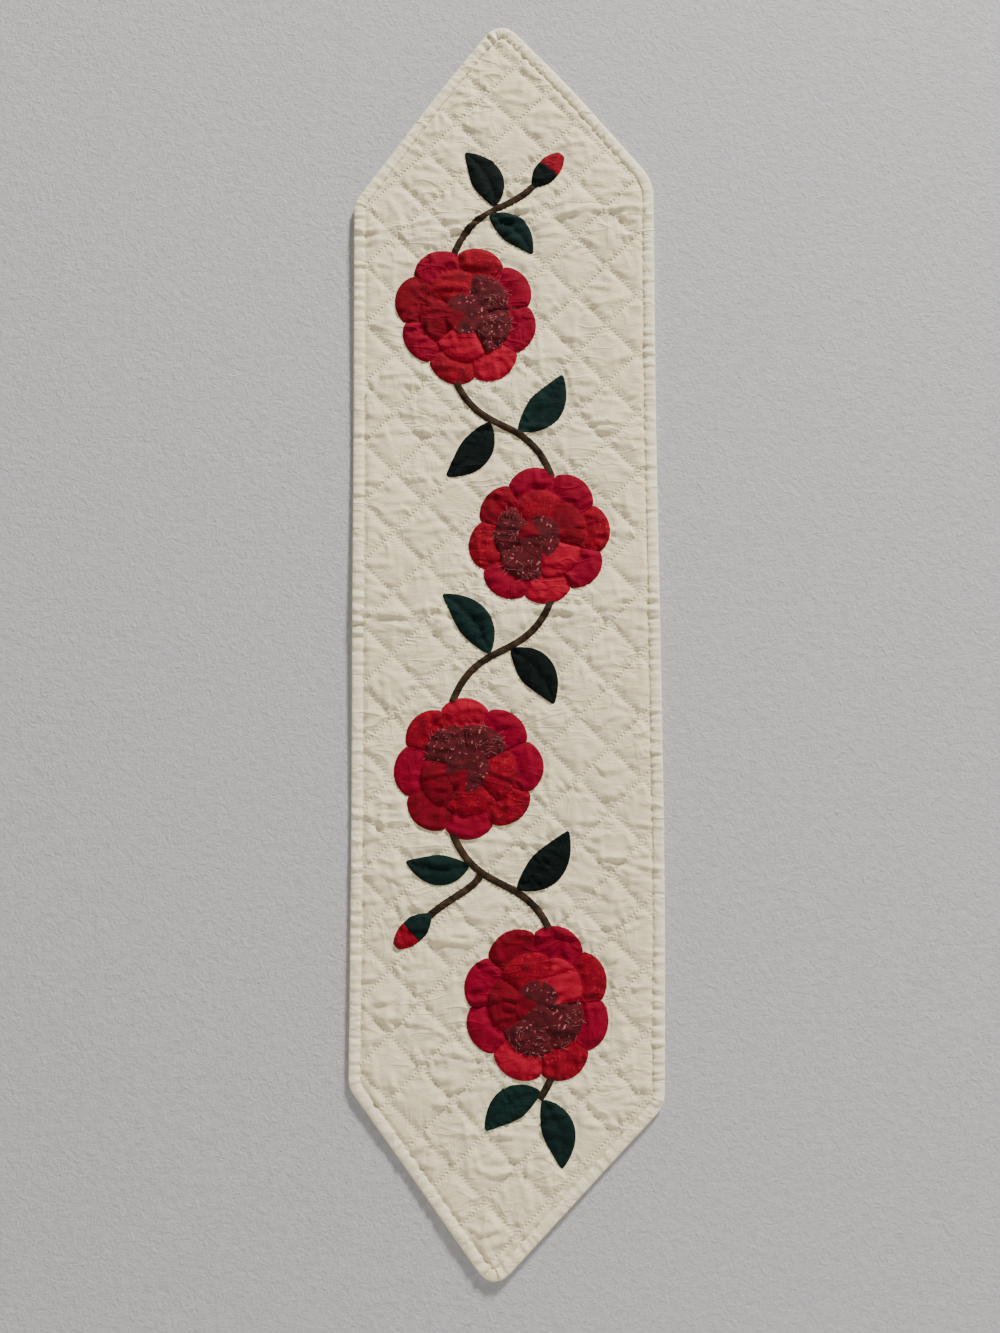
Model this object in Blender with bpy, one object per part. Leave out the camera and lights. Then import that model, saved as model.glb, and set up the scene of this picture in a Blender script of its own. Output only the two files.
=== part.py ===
"""Quilted wall hanging: a long bound panel with pointed ends, appliqued with roses on a vine.

The panel hangs by its upper point against a wall. X runs to the right, Z up, the wall is the
plane y = 0 and the face looks along -Y. The origin is the highest edge of the upper point.
Lengths are in millimetres up to the last step, where MM turns them into metres.
"""
import bmesh
import bpy
import numpy as np
from mathutils import Vector
from mathutils.geometry import delaunay_2d_cdt

MM = 0.001

# Where the cloth's sides would cross, and how far from there each corner starts to turn,
# clockwise seen from the front
OUTLINE = (
    # corner, x, z, turn
    ("upper point", -1.8, 9.0, 24),
    ("right slant", 60.0, -55.5, 30),
    ("right shoulder", 136.6, -147.0, 17),
    ("right upper side", 136.6, -400.0, 90),
    ("right lower side", 139.6, -770.0, 90),
    ("right lower corner", 136.8, -958.0, 10),
    ("tip", -7.9, -1108.0, 23),
    ("left lower corner", -129.6, -943.0, 8),
    ("left lower side", -129.4, -790.0, 90),
    ("left upper side", -131.0, -520.0, 90),
    ("left shoulder", -133.2, -168.0, 7),
    ("left slant", -57.0, -61.5, 30),
)
CORNER_POINTS = 25         # of the path along a corner, and along a side
SIDE_POINTS = 40
STATION_TURN = 14.0        # degrees the edge turns between two stations
STATION_STEP = 24.0        # longest stretch between two stations

# How the cloth stands off the wall: its middle layer, the creases of its old folds and its edges
MID_GAP = 3.1
FOLDS = (
    # z at the left edge, z at the right edge, rise off the wall, reach
    (-200, -164, 2.2, 70),
    (-381, -368, -1.0, 60),
    (-540, -536, 2.0, 75),
    (-713, -760, -1.0, 60),
)
FOLD_TIP = 9.0             # how softly a fold turns over
SIDE = 134.0               # distance of the side edges from the middle line
LEFT_LIFT = 0.7
RIGHT_LIFT = 0.3
LIFT_START = 60.0
LIFT_WAVE = 310.0          # the left edge's lift changes along it, by this share
LIFT_CHANGE = 0.25
LIFT_PHASE = 0.8
TIP_LIFT = 1.6
TIP_START = -1000.0
TIP_END = -1100.0

# Quilting: a crosshatch on the bias, low at the stitching and high between the lines
QUILT_PITCH = 38.1
FALLING_PHASE = -2.5       # where the lines that fall to the left start
RISING_PHASE = 18.5        # where the lines that fall to the right start
SEAM_HALF = 0.7            # half thickness of the cloth at the stitching
FRONT_PUFF = 1.7
BACK_PUFF = 0.7
PUFF_EDGE = 9.0            # how far from an outline stitch the loft is full again
FRONT_CELLS = 4            # points across a diamond, front and back
BACK_CELLS = 2
LATTICE = (-24, 40)        # the first and the last line of the crosshatch
SEAM_ROOM = 3.0            # points of the lattice this near a seam or an outline are left out
OUTLINE_ROOM = 3.5
LOFT_AT_DITCH = 0.15       # how far the loft has come back at the outline stitching
DITCH = 1.2                # the outline stitching runs this far outside each applique

# Binding: a folded strip, seen on the front from the edge to its seam
BINDING_WIDTH = 9.5
BINDING_HALF = 1.8
BINDING_CLOTH = 0.8
GAP = 0.3                  # between any two pieces

# Applique
APPLIQUE_LIFT = 0.45       # air between the ground and an applique's back
APPLIQUE_EDGE = 0.9
APPLIQUE_CROWN = 1.5
EDGE_SHARE = 0.06          # of the way in where the turned edge ends
CROWN_SHARE = 0.45         # of the way in where a petal is highest
HEART_RISE = 0.5           # of the heart's middle over the other crowns
HEART_SHOULDER = 0.6       # of the heart's radius
RING_GAP = 0.6             # between the petal rings of a rose
ROSES = (
    # x, z, radius, turn in degrees
    (-32, -272, 64, 8),
    (33, -473, 62, -14),
    (-30, -676, 63, 25),
    (30, -874, 65, 3),
)
OUTER_PETALS = 8
INNER_PETALS = 5
INNER_RADIUS = 0.66        # of the rose's radius
HEART_RADIUS = 0.30
NOTCH = 0.13               # how deep the petals are notched, of the radius
PETAL_ROUND = 0.7          # lower is rounder
UNEVEN = (0.03, 0.02)      # how far the rim is out of round, in two and in three waves
ROSE_STEPS = 40
HEART_STEPS = 20

# The vine meanders down the cloth: it swings across and sways up and down, and its turn is 0
# behind the first rose and 1, 2 and 3 behind the others
VINE_WIDTH = 6.4
VINE_SWING = 52.0
VINE_SWAY = 19.0
VINE_DROP = 201.0          # from one rose to the next
VINE_START = -0.68
VINE_END = 3.29
VINE_STEP = 12.0

LEAVES = (
    # vine turn, side, heading in degrees, length, width
    (-0.47, 1, 118, 58, 29),
    (-0.42, -1, 318, 52, 25),
    (0.58, -1, 52, 64, 31),
    (0.44, 1, 232, 62, 29),
    (1.56, 1, 128, 66, 30),
    (1.46, -1, 308, 60, 31),
    (2.57, -1, 48, 66, 30),
    (2.33, 1, 176, 54, 26),
    (3.27, 1, 214, 56, 28),
    (3.29, -1, 286, 58, 28),
)
LEAF_BEND = 0.10           # of the length, to one side
LEAF_STEPS = 8
LEAF_CLEAR = 1.2           # from the vine's edge to a leaf's foot
LEAF_FOOT = 0.8            # half width of a leaf's foot and point
LEAF_ROUND = 0.9           # lower is rounder and puts the widest part nearer the foot

STALK = ((-19.6, -768.6), (-25, -779), (-42, -784), (-60.9, -799.8))
STALK_STEPS = 6
BUDS = (
    # x, z, heading in degrees
    (28.9, -151.4, 50),
    (-61.7, -800.5, 222),
)
BUD_LENGTH = 40.0
BUD_WIDTH = 21.0
BUD_FOOT = 2.2             # half width
CALYX_PART = 0.56          # of the bud's length
CALYX_FULL = 0.42          # where the calyx is as wide as the bud
BUD_TIP = 1.06             # where the sides of the bud would meet

# Colours, linear, with roughness
CREAM = (0.61, 0.565, 0.475, 0.9)
BINDING_CREAM = (0.63, 0.59, 0.50, 0.9)
CRIMSON = (0.28, 0.003, 0.014, 0.8)
SCARLET = (0.32, 0.006, 0.012, 0.8)
MAROON = (0.13, 0.012, 0.017, 0.8)
LEAF_GREEN = (0.005, 0.019, 0.016, 0.85)
STEM_BROWN = (0.062, 0.040, 0.028, 0.85)


def smooth(t):
    """Eased step from 0 to 1."""
    t = np.clip(t, 0, 1)
    return t * t * (3 - 2 * t)


def stand_off(x, z):
    """Distance from the wall to the cloth's middle layer."""
    x = np.asarray(x, float)
    gap = np.full(x.shape, MID_GAP)
    for left, right, rise, reach in FOLDS:
        crease = left + (right - left) * (x + SIDE) / (2 * SIDE)
        away = np.hypot(z - crease, FOLD_TIP) - FOLD_TIP
        gap = gap + rise * np.exp(-away / reach)
    uneven = 1 - LIFT_CHANGE + LIFT_CHANGE * np.sin(2 * np.pi * z / LIFT_WAVE + LIFT_PHASE)
    span = SIDE - LIFT_START
    gap = gap + LEFT_LIFT * uneven * smooth((-x - LIFT_START) / span)
    gap = gap + RIGHT_LIFT * smooth((x - LIFT_START) / span)
    return gap + TIP_LIFT * smooth((z - TIP_START) / (TIP_END - TIP_START))


def loft_between_lines(x, z):
    """0 on the quilting lines, 1 in the middle of a diamond."""
    falling = (x - z) / np.sqrt(2) - FALLING_PHASE
    rising = (-x - z) / np.sqrt(2) - RISING_PHASE
    crown = np.abs(np.sin(np.pi * falling / QUILT_PITCH) * np.sin(np.pi * rising / QUILT_PITCH))
    return crown ** 0.5


def lattice(cells):
    """Points of the crosshatch and evenly between its lines, over the whole cloth."""
    reach = range(LATTICE[0] * cells, LATTICE[1] * cells)
    step = QUILT_PITCH / cells
    falling, rising = np.meshgrid([FALLING_PHASE + i * step for i in reach],
                                  [RISING_PHASE + i * step for i in reach])
    x = (falling - rising) / np.sqrt(2)
    z = -(falling + rising) / np.sqrt(2)
    return np.column_stack((x.ravel(), z.ravel()))


def signed_distance(points, loop):
    """Distance of each point to a closed loop, negative inside."""
    start = loop
    side = np.roll(loop, -1, 0) - start
    from_start = points[:, None, :] - start
    along = np.clip((from_start * side).sum(2) / (side * side).sum(1), 0, 1)
    near = np.linalg.norm(from_start - along[:, :, None] * side, axis=2).min(1)
    x, z = points[:, 0:1], points[:, 1:2]
    end = start + side
    straddles = (start[:, 1] > z) != (end[:, 1] > z)
    rise = np.where(side[:, 1] == 0, 1, side[:, 1])
    left_of = x < start[:, 0] + side[:, 0] * (z - start[:, 1]) / rise
    inside = (straddles & left_of).sum(1) % 2 == 1
    return np.where(inside, -near, near)


def edge_stations():
    """Stations round the cloth's edge with their inward directions, the highest one first."""
    corners = [Vector((x, z)) for _, x, z, _ in OUTLINE]
    path = []
    for i, (_, _, _, turn) in enumerate(OUTLINE):
        corner = corners[i]
        start = corner + (corners[i - 1] - corner).normalized() * turn
        end = corner + (corners[(i + 1) % len(corners)] - corner).normalized() * turn
        for t in np.linspace(0, 1, CORNER_POINTS):
            path.append(start.lerp(corner, t).lerp(corner.lerp(end, t), t))
        following = (i + 1) % len(corners)
        next_turn = OUTLINE[following][3]
        next_start = corners[following] + (corner - corners[following]).normalized() * next_turn
        path += [end.lerp(next_start, t) for t in np.linspace(0, 1, SIDE_POINTS)[1:-1]]
    path = np.array(path)
    path = np.roll(path, -int(path[:, 1].argmax()), 0)
    path[:, 1] -= path[0, 1]
    along = np.roll(path, -1, 0) - np.roll(path, 1, 0)
    along /= np.linalg.norm(along, axis=1)[:, None]
    keep = [0]
    for i in range(1, len(path)):
        turned = np.degrees(np.arccos(np.clip(along[i] @ along[keep[-1]], -1, 1)))
        if turned > STATION_TURN or np.linalg.norm(path[i] - path[keep[-1]]) > STATION_STEP:
            keep.append(i)
    if np.linalg.norm(path[keep[-1]] - path[0]) < STATION_STEP / 4:
        keep.pop()
    inward = np.column_stack((along[:, 1], -along[:, 0]))
    return path[keep], inward[keep]


def fullness(petals):
    """Round a ring: 0 in the notch between two petals, 1 in the middle of each."""
    return np.abs(np.sin(np.pi * petals * np.arange(ROSE_STEPS) / ROSE_STEPS)) ** PETAL_ROUND


def rose_rim(rose, radius, petals):
    """Points of a ring of round petals, with a notch between each two."""
    x, z, size, turn = rose
    angle = np.radians(turn) + 2 * np.pi * np.arange(ROSE_STEPS) / ROSE_STEPS
    uneven = 1 + UNEVEN[0] * np.cos(2 * angle + turn) + UNEVEN[1] * np.cos(3 * angle - turn)
    reach = size * radius * (1 - NOTCH * (1 - fullness(petals))) * uneven
    return np.column_stack((x + reach * np.cos(angle), z + reach * np.sin(angle)))


def vine_at(turn):
    """Points on the vine, which meanders from one rose to the next."""
    turn = np.asarray(turn, float)
    x = -VINE_SWING * np.cos(np.pi * turn)
    z = ROSES[0][1] - VINE_DROP * turn - VINE_SWAY * np.sin(2 * np.pi * turn)
    return np.stack((x, z), -1)


def sideways(path):
    """Directions to the right of a path's points, seen along it."""
    along = np.gradient(path, axis=0)
    along /= np.linalg.norm(along, axis=1)[:, None]
    return np.column_stack((along[:, 1], -along[:, 0]))


def rim_of_strip(path, half_width):
    """Closed outline of a strip that follows a path."""
    side = sideways(path) * np.asarray(half_width)[:, None]
    return np.vstack((path + side, (path - side)[::-1]))


def vine_runs():
    """The vine's stretches that show between the roses."""
    path = vine_at(np.arange(VINE_START, VINE_END, 0.004))
    side = sideways(path) * VINE_WIDTH / 2
    clear = np.full(len(path), True)
    for rose in ROSES:
        rim = rose_rim(rose, 1, OUTER_PETALS)
        for edge in (path, path + side, path - side):
            clear &= signed_distance(edge, rim) > RING_GAP
    runs = np.split(np.arange(len(path)), np.nonzero(np.diff(clear.astype(int)))[0] + 1)
    for run in runs:
        if clear[run[0]] and len(run) > 4:
            length = np.linalg.norm(np.diff(path[run], axis=0), axis=1).sum()
            count = max(3, int(length / VINE_STEP) + 2)
            yield path[np.linspace(run[0], run[-1], count).round().astype(int)]


def leaf_path(start, heading, length, bend):
    """Midrib of a leaf or bud, bent to one side."""
    t = np.linspace(0, 1, LEAF_STEPS)
    along = np.array((np.cos(np.radians(heading)), np.sin(np.radians(heading))))
    across = np.array((-along[1], along[0]))
    return start + np.outer(t * length, along) + np.outer(np.sin(np.pi * t) * bend * length, across)


def leaf_widths(width):
    """Half widths along a leaf: a full middle, a narrow base and a point."""
    t = np.linspace(0, 1, LEAF_STEPS)
    full = np.clip(np.sin(np.pi * t ** LEAF_ROUND), 0, 1) ** LEAF_ROUND
    return (width / 2 - LEAF_FOOT) * full + LEAF_FOOT


def stalk_path():
    """The side stalk, a curve from the vine's edge to the foot of the lower bud."""
    start, leave, arrive, end = np.array(STALK, float)
    t = np.linspace(0, 1, STALK_STEPS)[:, None]
    bend = 3 * t * (1 - t) * ((1 - t) * leave + t * arrive)
    return (1 - t) ** 3 * start + bend + t ** 3 * end


def strips():
    """Each applique that follows a path: name, path, half widths, colour."""
    for i, path in enumerate(vine_runs(), 1):
        yield f"vine_{i}", path, np.full(len(path), VINE_WIDTH / 2), STEM_BROWN
    yield "bud_stalk", stalk_path(), np.full(STALK_STEPS, VINE_WIDTH / 2), STEM_BROWN
    for i, (turn, side, heading, length, width) in enumerate(LEAVES, 1):
        spot = vine_at((turn - 0.01, turn, turn + 0.01))
        foot = spot[1] + sideways(spot)[1] * side * (VINE_WIDTH / 2 + LEAF_CLEAR)
        bend = LEAF_BEND * (-1) ** i
        yield f"leaf_{i:02d}", leaf_path(foot, heading, length, bend), leaf_widths(width), LEAF_GREEN
    for i, (x, z, heading) in enumerate(BUDS, 1):
        path = leaf_path(np.array((x, z)), heading, BUD_LENGTH, 0)
        ends = np.linspace(0, BUD_LENGTH, LEAF_STEPS)
        t = np.linspace(0, CALYX_PART, LEAF_STEPS - 2)
        calyx = np.column_stack([np.interp(t * BUD_LENGTH, ends, path[:, k]) for k in (0, 1)])
        full = np.sin(np.pi / 2 * np.clip(t / CALYX_FULL, 0, 1))
        calyx_half = BUD_FOOT + (BUD_WIDTH / 2 - BUD_FOOT) * full
        yield f"bud_{i}_calyx", calyx, calyx_half, LEAF_GREEN
        t = np.linspace(CALYX_PART + RING_GAP / BUD_LENGTH, 1, LEAF_STEPS - 3)
        petals = np.column_stack([np.interp(t * BUD_LENGTH, ends, path[:, k]) for k in (0, 1)])
        narrowing = np.pi / 2 * (t - CALYX_PART) / (BUD_TIP - CALYX_PART)
        petals_half = BUD_WIDTH / 2 * np.cos(narrowing) ** PETAL_ROUND
        yield f"bud_{i}_petals", petals, petals_half, SCARLET


def new_object(name, vertices, faces, colour):
    """One named object in metres, with its faces pointing out and a material of its own."""
    mesh = bpy.data.meshes.new(name)
    mesh.from_pydata([(x * MM, y * MM, z * MM) for x, y, z in vertices], [], faces)
    shape = bmesh.new()
    shape.from_mesh(mesh)
    bmesh.ops.triangulate(shape, faces=shape.faces[:])
    bmesh.ops.recalc_face_normals(shape, faces=shape.faces[:])
    shape.to_mesh(mesh)
    shape.free()
    mesh.shade_smooth()
    mesh.set_sharp_from_angle(angle=np.radians(40))
    material = bpy.data.materials.new(name)
    material.use_nodes = True
    surface = material.node_tree.nodes["Principled BSDF"]
    surface.inputs["Base Color"].default_value = (*colour[:3], 1)
    surface.inputs["Roughness"].default_value = colour[3]
    surface.inputs["Metallic"].default_value = 0
    mesh.materials.append(material)
    item = bpy.data.objects.new(name, mesh)
    bpy.context.scene.collection.objects.link(item)
    return item


def swept(name, sections, closed, colour):
    """A solid through sections of equal point counts, joined end to end or capped."""
    count = len(sections[0])
    vertices = [point for section in sections for point in section]
    faces = []
    for i in range(len(sections) if closed else len(sections) - 1):
        here, there = i * count, (i + 1) % len(sections) * count
        for j in range(count):
            k = (j + 1) % count
            faces.append((here + j, there + j, there + k, here + k))
    if not closed:
        faces.append(range(count))
        faces.append(range(len(vertices) - count, len(vertices)))
    return new_object(name, vertices, faces, colour)


def on_ground(x, z, lift):
    """A point this far in front of the ground's flat parts."""
    return (x, -stand_off(x, z) - SEAM_HALF - APPLIQUE_LIFT - lift, z)


def strip_solid(name, path, half_width, colour):
    """A leaf, stem or bud: a low crown over a thin edge."""
    side = sideways(path)
    soft = 1 - EDGE_SHARE
    profile = ((1, 0), (soft, APPLIQUE_EDGE), (0, APPLIQUE_CROWN), (-soft, APPLIQUE_EDGE), (-1, 0))
    sections = []
    for centre, across, half in zip(path, side, half_width):
        points = [(*(centre + across * half * share), lift) for share, lift in profile]
        sections.append([on_ground(*point) for point in points])
    return swept(name, sections, False, colour)


def petal_ring(name, outer, inner, petals, colour):
    """A ring of petals, each with a crown, low at its rim and in the seams between petals."""
    sections = []
    for rim, hole, full in zip(outer, inner, fullness(petals)):
        soft = rim + (hole - rim) * EDGE_SHARE
        crown = rim + (hole - rim) * CROWN_SHARE
        crown_lift = APPLIQUE_EDGE + (APPLIQUE_CROWN - APPLIQUE_EDGE) * full
        section = ((rim, 0), (soft, APPLIQUE_EDGE), (crown, crown_lift), (hole, APPLIQUE_EDGE), (hole, 0))
        sections.append([on_ground(*spot, lift) for spot, lift in section])
    return swept(name, sections, True, colour)


def heart_solid(name, rose):
    """The rose's round heart, a low button."""
    x, z, size, _ = rose
    radius = size * HEART_RADIUS
    angle = 2 * np.pi * np.arange(HEART_STEPS) / HEART_STEPS
    vertices = [on_ground(x, z, 0), on_ground(x, z, APPLIQUE_CROWN + HEART_RISE)]
    for share, lift in ((1, 0), (1 - EDGE_SHARE, APPLIQUE_EDGE), (HEART_SHOULDER, APPLIQUE_CROWN)):
        reach = radius * share
        for a in angle:
            vertices.append(on_ground(x + reach * np.cos(a), z + reach * np.sin(a), lift))
    faces = []
    for j in range(HEART_STEPS):
        k = (j + 1) % HEART_STEPS
        rows = [2 + row * HEART_STEPS for row in range(3)]
        faces.append((0, rows[0] + j, rows[0] + k))
        faces.append((rows[0] + j, rows[1] + j, rows[1] + k, rows[0] + k))
        faces.append((rows[1] + j, rows[2] + j, rows[2] + k, rows[1] + k))
        faces.append((1, rows[2] + k, rows[2] + j))
    return new_object(name, vertices, faces, MAROON)


def roses():
    """Four roses, each of two petal rings and a heart."""
    for i, rose in enumerate(ROSES, 1):
        outer = rose_rim(rose, 1, OUTER_PETALS)
        middle = rose_rim(rose, INNER_RADIUS, INNER_PETALS)
        centre = np.array(rose[:2], float)
        reach = np.linalg.norm(middle - centre, axis=1)[:, None]
        outward = (middle - centre) / reach
        petal_ring(f"rose_{i}_outer_petals", outer, middle + outward * RING_GAP, OUTER_PETALS, CRIMSON)
        heart_rim = centre + outward * (rose[2] * HEART_RADIUS + RING_GAP)
        petal_ring(f"rose_{i}_inner_petals", middle, heart_rim, INNER_PETALS, SCARLET)
        heart_solid(f"rose_{i}_heart", rose)


def binding(edge, inward):
    """The folded strip round the edge, a narrow channel that the ground's edge sits in."""
    inner_half = BINDING_HALF - BINDING_CLOTH
    profile = (
        # distance in from the edge, height off the middle layer
        (BINDING_WIDTH, BINDING_HALF - 0.3), (5.5, BINDING_HALF), (1.3, BINDING_HALF - 0.15),
        (0, 0.8), (0, -0.8), (1.3, 0.15 - BINDING_HALF), (BINDING_WIDTH, 0.3 - BINDING_HALF),
        (BINDING_WIDTH, -inner_half), (BINDING_CLOTH + GAP, -inner_half),
        (BINDING_CLOTH + GAP, inner_half), (BINDING_WIDTH, inner_half),
    )
    sections = []
    for point, across in zip(edge, inward):
        section = []
        for depth, height in profile:
            x, z = point + across * depth
            section.append((x, -stand_off(x, z) - height, z))
        sections.append(section)
    return swept("edge_binding", sections, True, BINDING_CREAM)


def triangles_inside(points, loops):
    """Triangulates points and closed loops of them, and drops what lies outside the first loop."""
    edges = []
    for first, count in loops:
        edges += [(first + i, first + (i + 1) % count) for i in range(count)]
    made = delaunay_2d_cdt([Vector(p) for p in points], edges, [], 1, 1e-4)
    return np.array([tuple(v) for v in made[0]]), [tuple(face) for face in made[2]]


def ground(edge, inward, motifs):
    """The quilted sheet: lofted diamonds that flatten under the binding and round each applique."""
    rim = edge + inward * (BINDING_CLOTH + 2 * GAP)
    seam = edge + inward * (BINDING_WIDTH + 0.8)

    def sheet(cells, outlines):
        points = list(rim)
        loops = [(0, len(rim))]
        for loop in outlines:
            loops.append((len(points), len(loop)))
            points += list(loop)
        inside = lattice(cells)
        inside = inside[signed_distance(inside, seam) < -SEAM_ROOM]
        for loop in outlines:
            near = np.linalg.norm(inside[:, None, :] - loop, axis=2).min(1)
            inside = inside[near > OUTLINE_ROOM]
        return triangles_inside(points + list(inside), loops)

    def loft(points):
        room = -signed_distance(points, seam)
        for motif in motifs:
            room = np.minimum(room, signed_distance(points, motif) - DITCH)
        full = loft_between_lines(points[:, 0], points[:, 1])
        return full * smooth(room / PUFF_EDGE + LOFT_AT_DITCH)

    grown = [grow(motif, DITCH) for motif in motifs]
    front, front_faces = sheet(FRONT_CELLS, [seam] + grown)
    back, back_faces = sheet(BACK_CELLS, [seam])
    front_y = -stand_off(front[:, 0], front[:, 1]) - SEAM_HALF - FRONT_PUFF * loft(front)
    from_seam = smooth(-signed_distance(back, seam) / PUFF_EDGE)
    back_loft = loft_between_lines(back[:, 0], back[:, 1]) * from_seam
    back_y = -stand_off(back[:, 0], back[:, 1]) + SEAM_HALF + BACK_PUFF * back_loft
    vertices = [(x, y, z) for (x, z), y in zip(front, front_y)]
    vertices += [(x, y, z) for (x, z), y in zip(back, back_y)]
    offset = len(front)
    faces = front_faces + [tuple(offset + i for i in face) for face in back_faces]
    for i in range(len(rim)):
        k = (i + 1) % len(rim)
        faces.append((i, k, offset + k, offset + i))
    return new_object("quilted_ground", vertices, faces, CREAM)


def grow(loop, distance):
    """A closed loop moved outwards."""
    along = np.roll(loop, -1, 0) - np.roll(loop, 1, 0)
    along /= np.linalg.norm(along, axis=1)[:, None]
    out = np.column_stack((along[:, 1], -along[:, 0]))
    following = np.roll(loop, -1, 0)
    area = (loop[:, 0] * following[:, 1] - following[:, 0] * loop[:, 1]).sum()
    return loop + out * distance * np.sign(area)


def build():
    """Makes every piece of the hanging."""
    for item in list(bpy.data.objects):
        bpy.data.objects.remove(item)
    edge, inward = edge_stations()
    binding(edge, inward)
    roses()
    motifs = [rose_rim(rose, 1, OUTER_PETALS) for rose in ROSES]
    for name, path, half_width, colour in strips():
        strip_solid(name, path, half_width, colour)
        motifs.append(rim_of_strip(path, half_width))
    ground(edge, inward, motifs)


build()
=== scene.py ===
import bpy
import numpy as np
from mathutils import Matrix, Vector
from mathutils.bvhtree import BVHTree


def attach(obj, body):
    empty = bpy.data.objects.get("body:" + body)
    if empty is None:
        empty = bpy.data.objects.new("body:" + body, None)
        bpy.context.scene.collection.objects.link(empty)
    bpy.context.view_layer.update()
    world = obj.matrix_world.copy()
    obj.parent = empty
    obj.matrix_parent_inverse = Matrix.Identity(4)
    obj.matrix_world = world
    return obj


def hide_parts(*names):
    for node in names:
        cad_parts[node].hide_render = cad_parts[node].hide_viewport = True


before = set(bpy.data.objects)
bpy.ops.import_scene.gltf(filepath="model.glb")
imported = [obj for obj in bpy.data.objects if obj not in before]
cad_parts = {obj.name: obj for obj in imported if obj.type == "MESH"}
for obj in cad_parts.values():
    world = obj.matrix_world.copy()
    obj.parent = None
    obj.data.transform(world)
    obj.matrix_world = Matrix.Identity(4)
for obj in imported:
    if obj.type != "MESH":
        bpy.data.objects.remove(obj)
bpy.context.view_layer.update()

MM = 0.001
rng = np.random.default_rng(38)

# The shape of the hanging, as its solids have it but for VINE_END and CALYX_FOOT
OUTLINE = (
    # x, z, turn
    (-1.8, 9.0, 24), (60.0, -55.5, 30), (136.6, -147.0, 17), (136.6, -400.0, 90),
    (139.6, -770.0, 90), (136.8, -958.0, 10), (-7.9, -1108.0, 23), (-129.6, -943.0, 8),
    (-129.4, -790.0, 90), (-131.0, -520.0, 90), (-133.2, -168.0, 7), (-57.0, -61.5, 30),
)
MID_GAP = 3.1
FOLDS = (
    # z at the left edge, z at the right edge, rise off the wall, reach
    (-200, -164, 2.2, 70), (-381, -368, -1.0, 60), (-540, -536, 2.0, 75), (-713, -760, -1.0, 60),
)
FOLD_TIP = 9.0
SIDE = 134.0
LEFT_LIFT = 0.7
RIGHT_LIFT = 0.3
LIFT_START = 60.0
LIFT_WAVE = 310.0
TIP_LIFT = 1.6
TIP_START = -1000.0
TIP_END = -1100.0
QUILT_PITCH = 38.1
FALLING_PHASE = -2.5
RISING_PHASE = 18.5
CLOTH_HALF = 0.7           # from the middle of the quilt to its face at the stitching
DITCH = 1.2
BINDING_WIDTH = 9.5
ROSES = (
    # x, z, radius, turn in degrees
    (-32, -272, 64, 8), (33, -473, 62, -14), (-30, -676, 63, 25), (30, -874, 65, 3),
)
OUTER_PETALS = 8
INNER_PETALS = 5
INNER_RADIUS = 0.66
HEART_RADIUS = 0.30
NOTCH = 0.13
VINE_WIDTH = 6.4
VINE_SWING = 52.0
VINE_SWAY = 19.0
VINE_DROP = 201.0
VINE_START = -0.68
VINE_END = 3.298           # 0.008 past the solids' vine, to meet the last leaf
LEAVES = (
    # vine turn, side, heading in degrees, length, width
    (-0.47, 1, 118, 58, 29), (-0.42, -1, 318, 52, 25), (0.58, -1, 52, 64, 31),
    (0.44, 1, 232, 62, 29), (1.56, 1, 128, 66, 30), (1.46, -1, 308, 60, 31),
    (2.57, -1, 48, 66, 30), (2.33, 1, 176, 54, 26), (3.27, 1, 214, 56, 28),
    (3.29, -1, 286, 58, 28),
)
LEAF_BEND = 0.10
LEAF_CLEAR = -0.5          # a leaf's foot is tucked under the vine's edge
STALK = ((-18.6, -766.6), (-25, -779), (-42, -784), (-61.6, -800.4))
BUDS = ((28.2, -152.2, 50), (-61.2, -800.0, 222))
BUD_LENGTH = 40.0
BUD_WIDTH = 21.0
CALYX_FOOT = -0.04         # below 0, so that the calyx meets its stalk
CALYX_PART = 0.56

# Hand quilting
STITCHES_A_SIDE = 11       # in one side of a diamond
SPACING = QUILT_PITCH / STITCHES_A_SIDE / 2     # between the net's threads
PITCH = 2 * SPACING        # from one stitch to the next
PUFF = 2.1                 # loft of the wadding in open cloth
GATHER = 0.092             # spare cloth along a line of stitches
CRINKLE = 0.012            # spare cloth everywhere, from washing
PIT = 0.5                  # how far a stitch draws the face below the cloth beside it
BEAD = 0.8                 # height of the cloth between two stitches of a line
WANDER = 0.16              # how far stitches stray from their line
SEAM_STEP = 1.7            # between the holds along the binding's seam
GATHER_REACH = 5.0         # of the spare cloth beside a line of stitches
FAR_PULL = 0.2             # how readily knots two threads apart are pulled
ROUNDS = 420
SIDE_SHIFT = 0.6           # furthest that a knot may move sideways without folding the net over
SHORT_FOLDS = 1500
MOST_RISE = 1.7            # of folds that meet
MOST_TROUGH = 0.55
LOWER_FOLDS = 0.4          # how much stronger the folds are in the lower half
LOWEST_RELIEF = -1.1       # where a lower face would come near the backing
LOWEST_FRONT = -1.0
LOWEST_BACK = -0.1
SHEET_INSET = 3.0          # from the cloth's edge to the sheets' own, inside the binding
FIRST_ROW, LAST_ROW = -10, 890
FIRST_COLUMN, LAST_COLUMN = -49, 64


def smooth(t):
    """Eased step from 0 to 1."""
    t = np.clip(t, 0, 1)
    return t * t * (3 - 2 * t)


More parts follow.
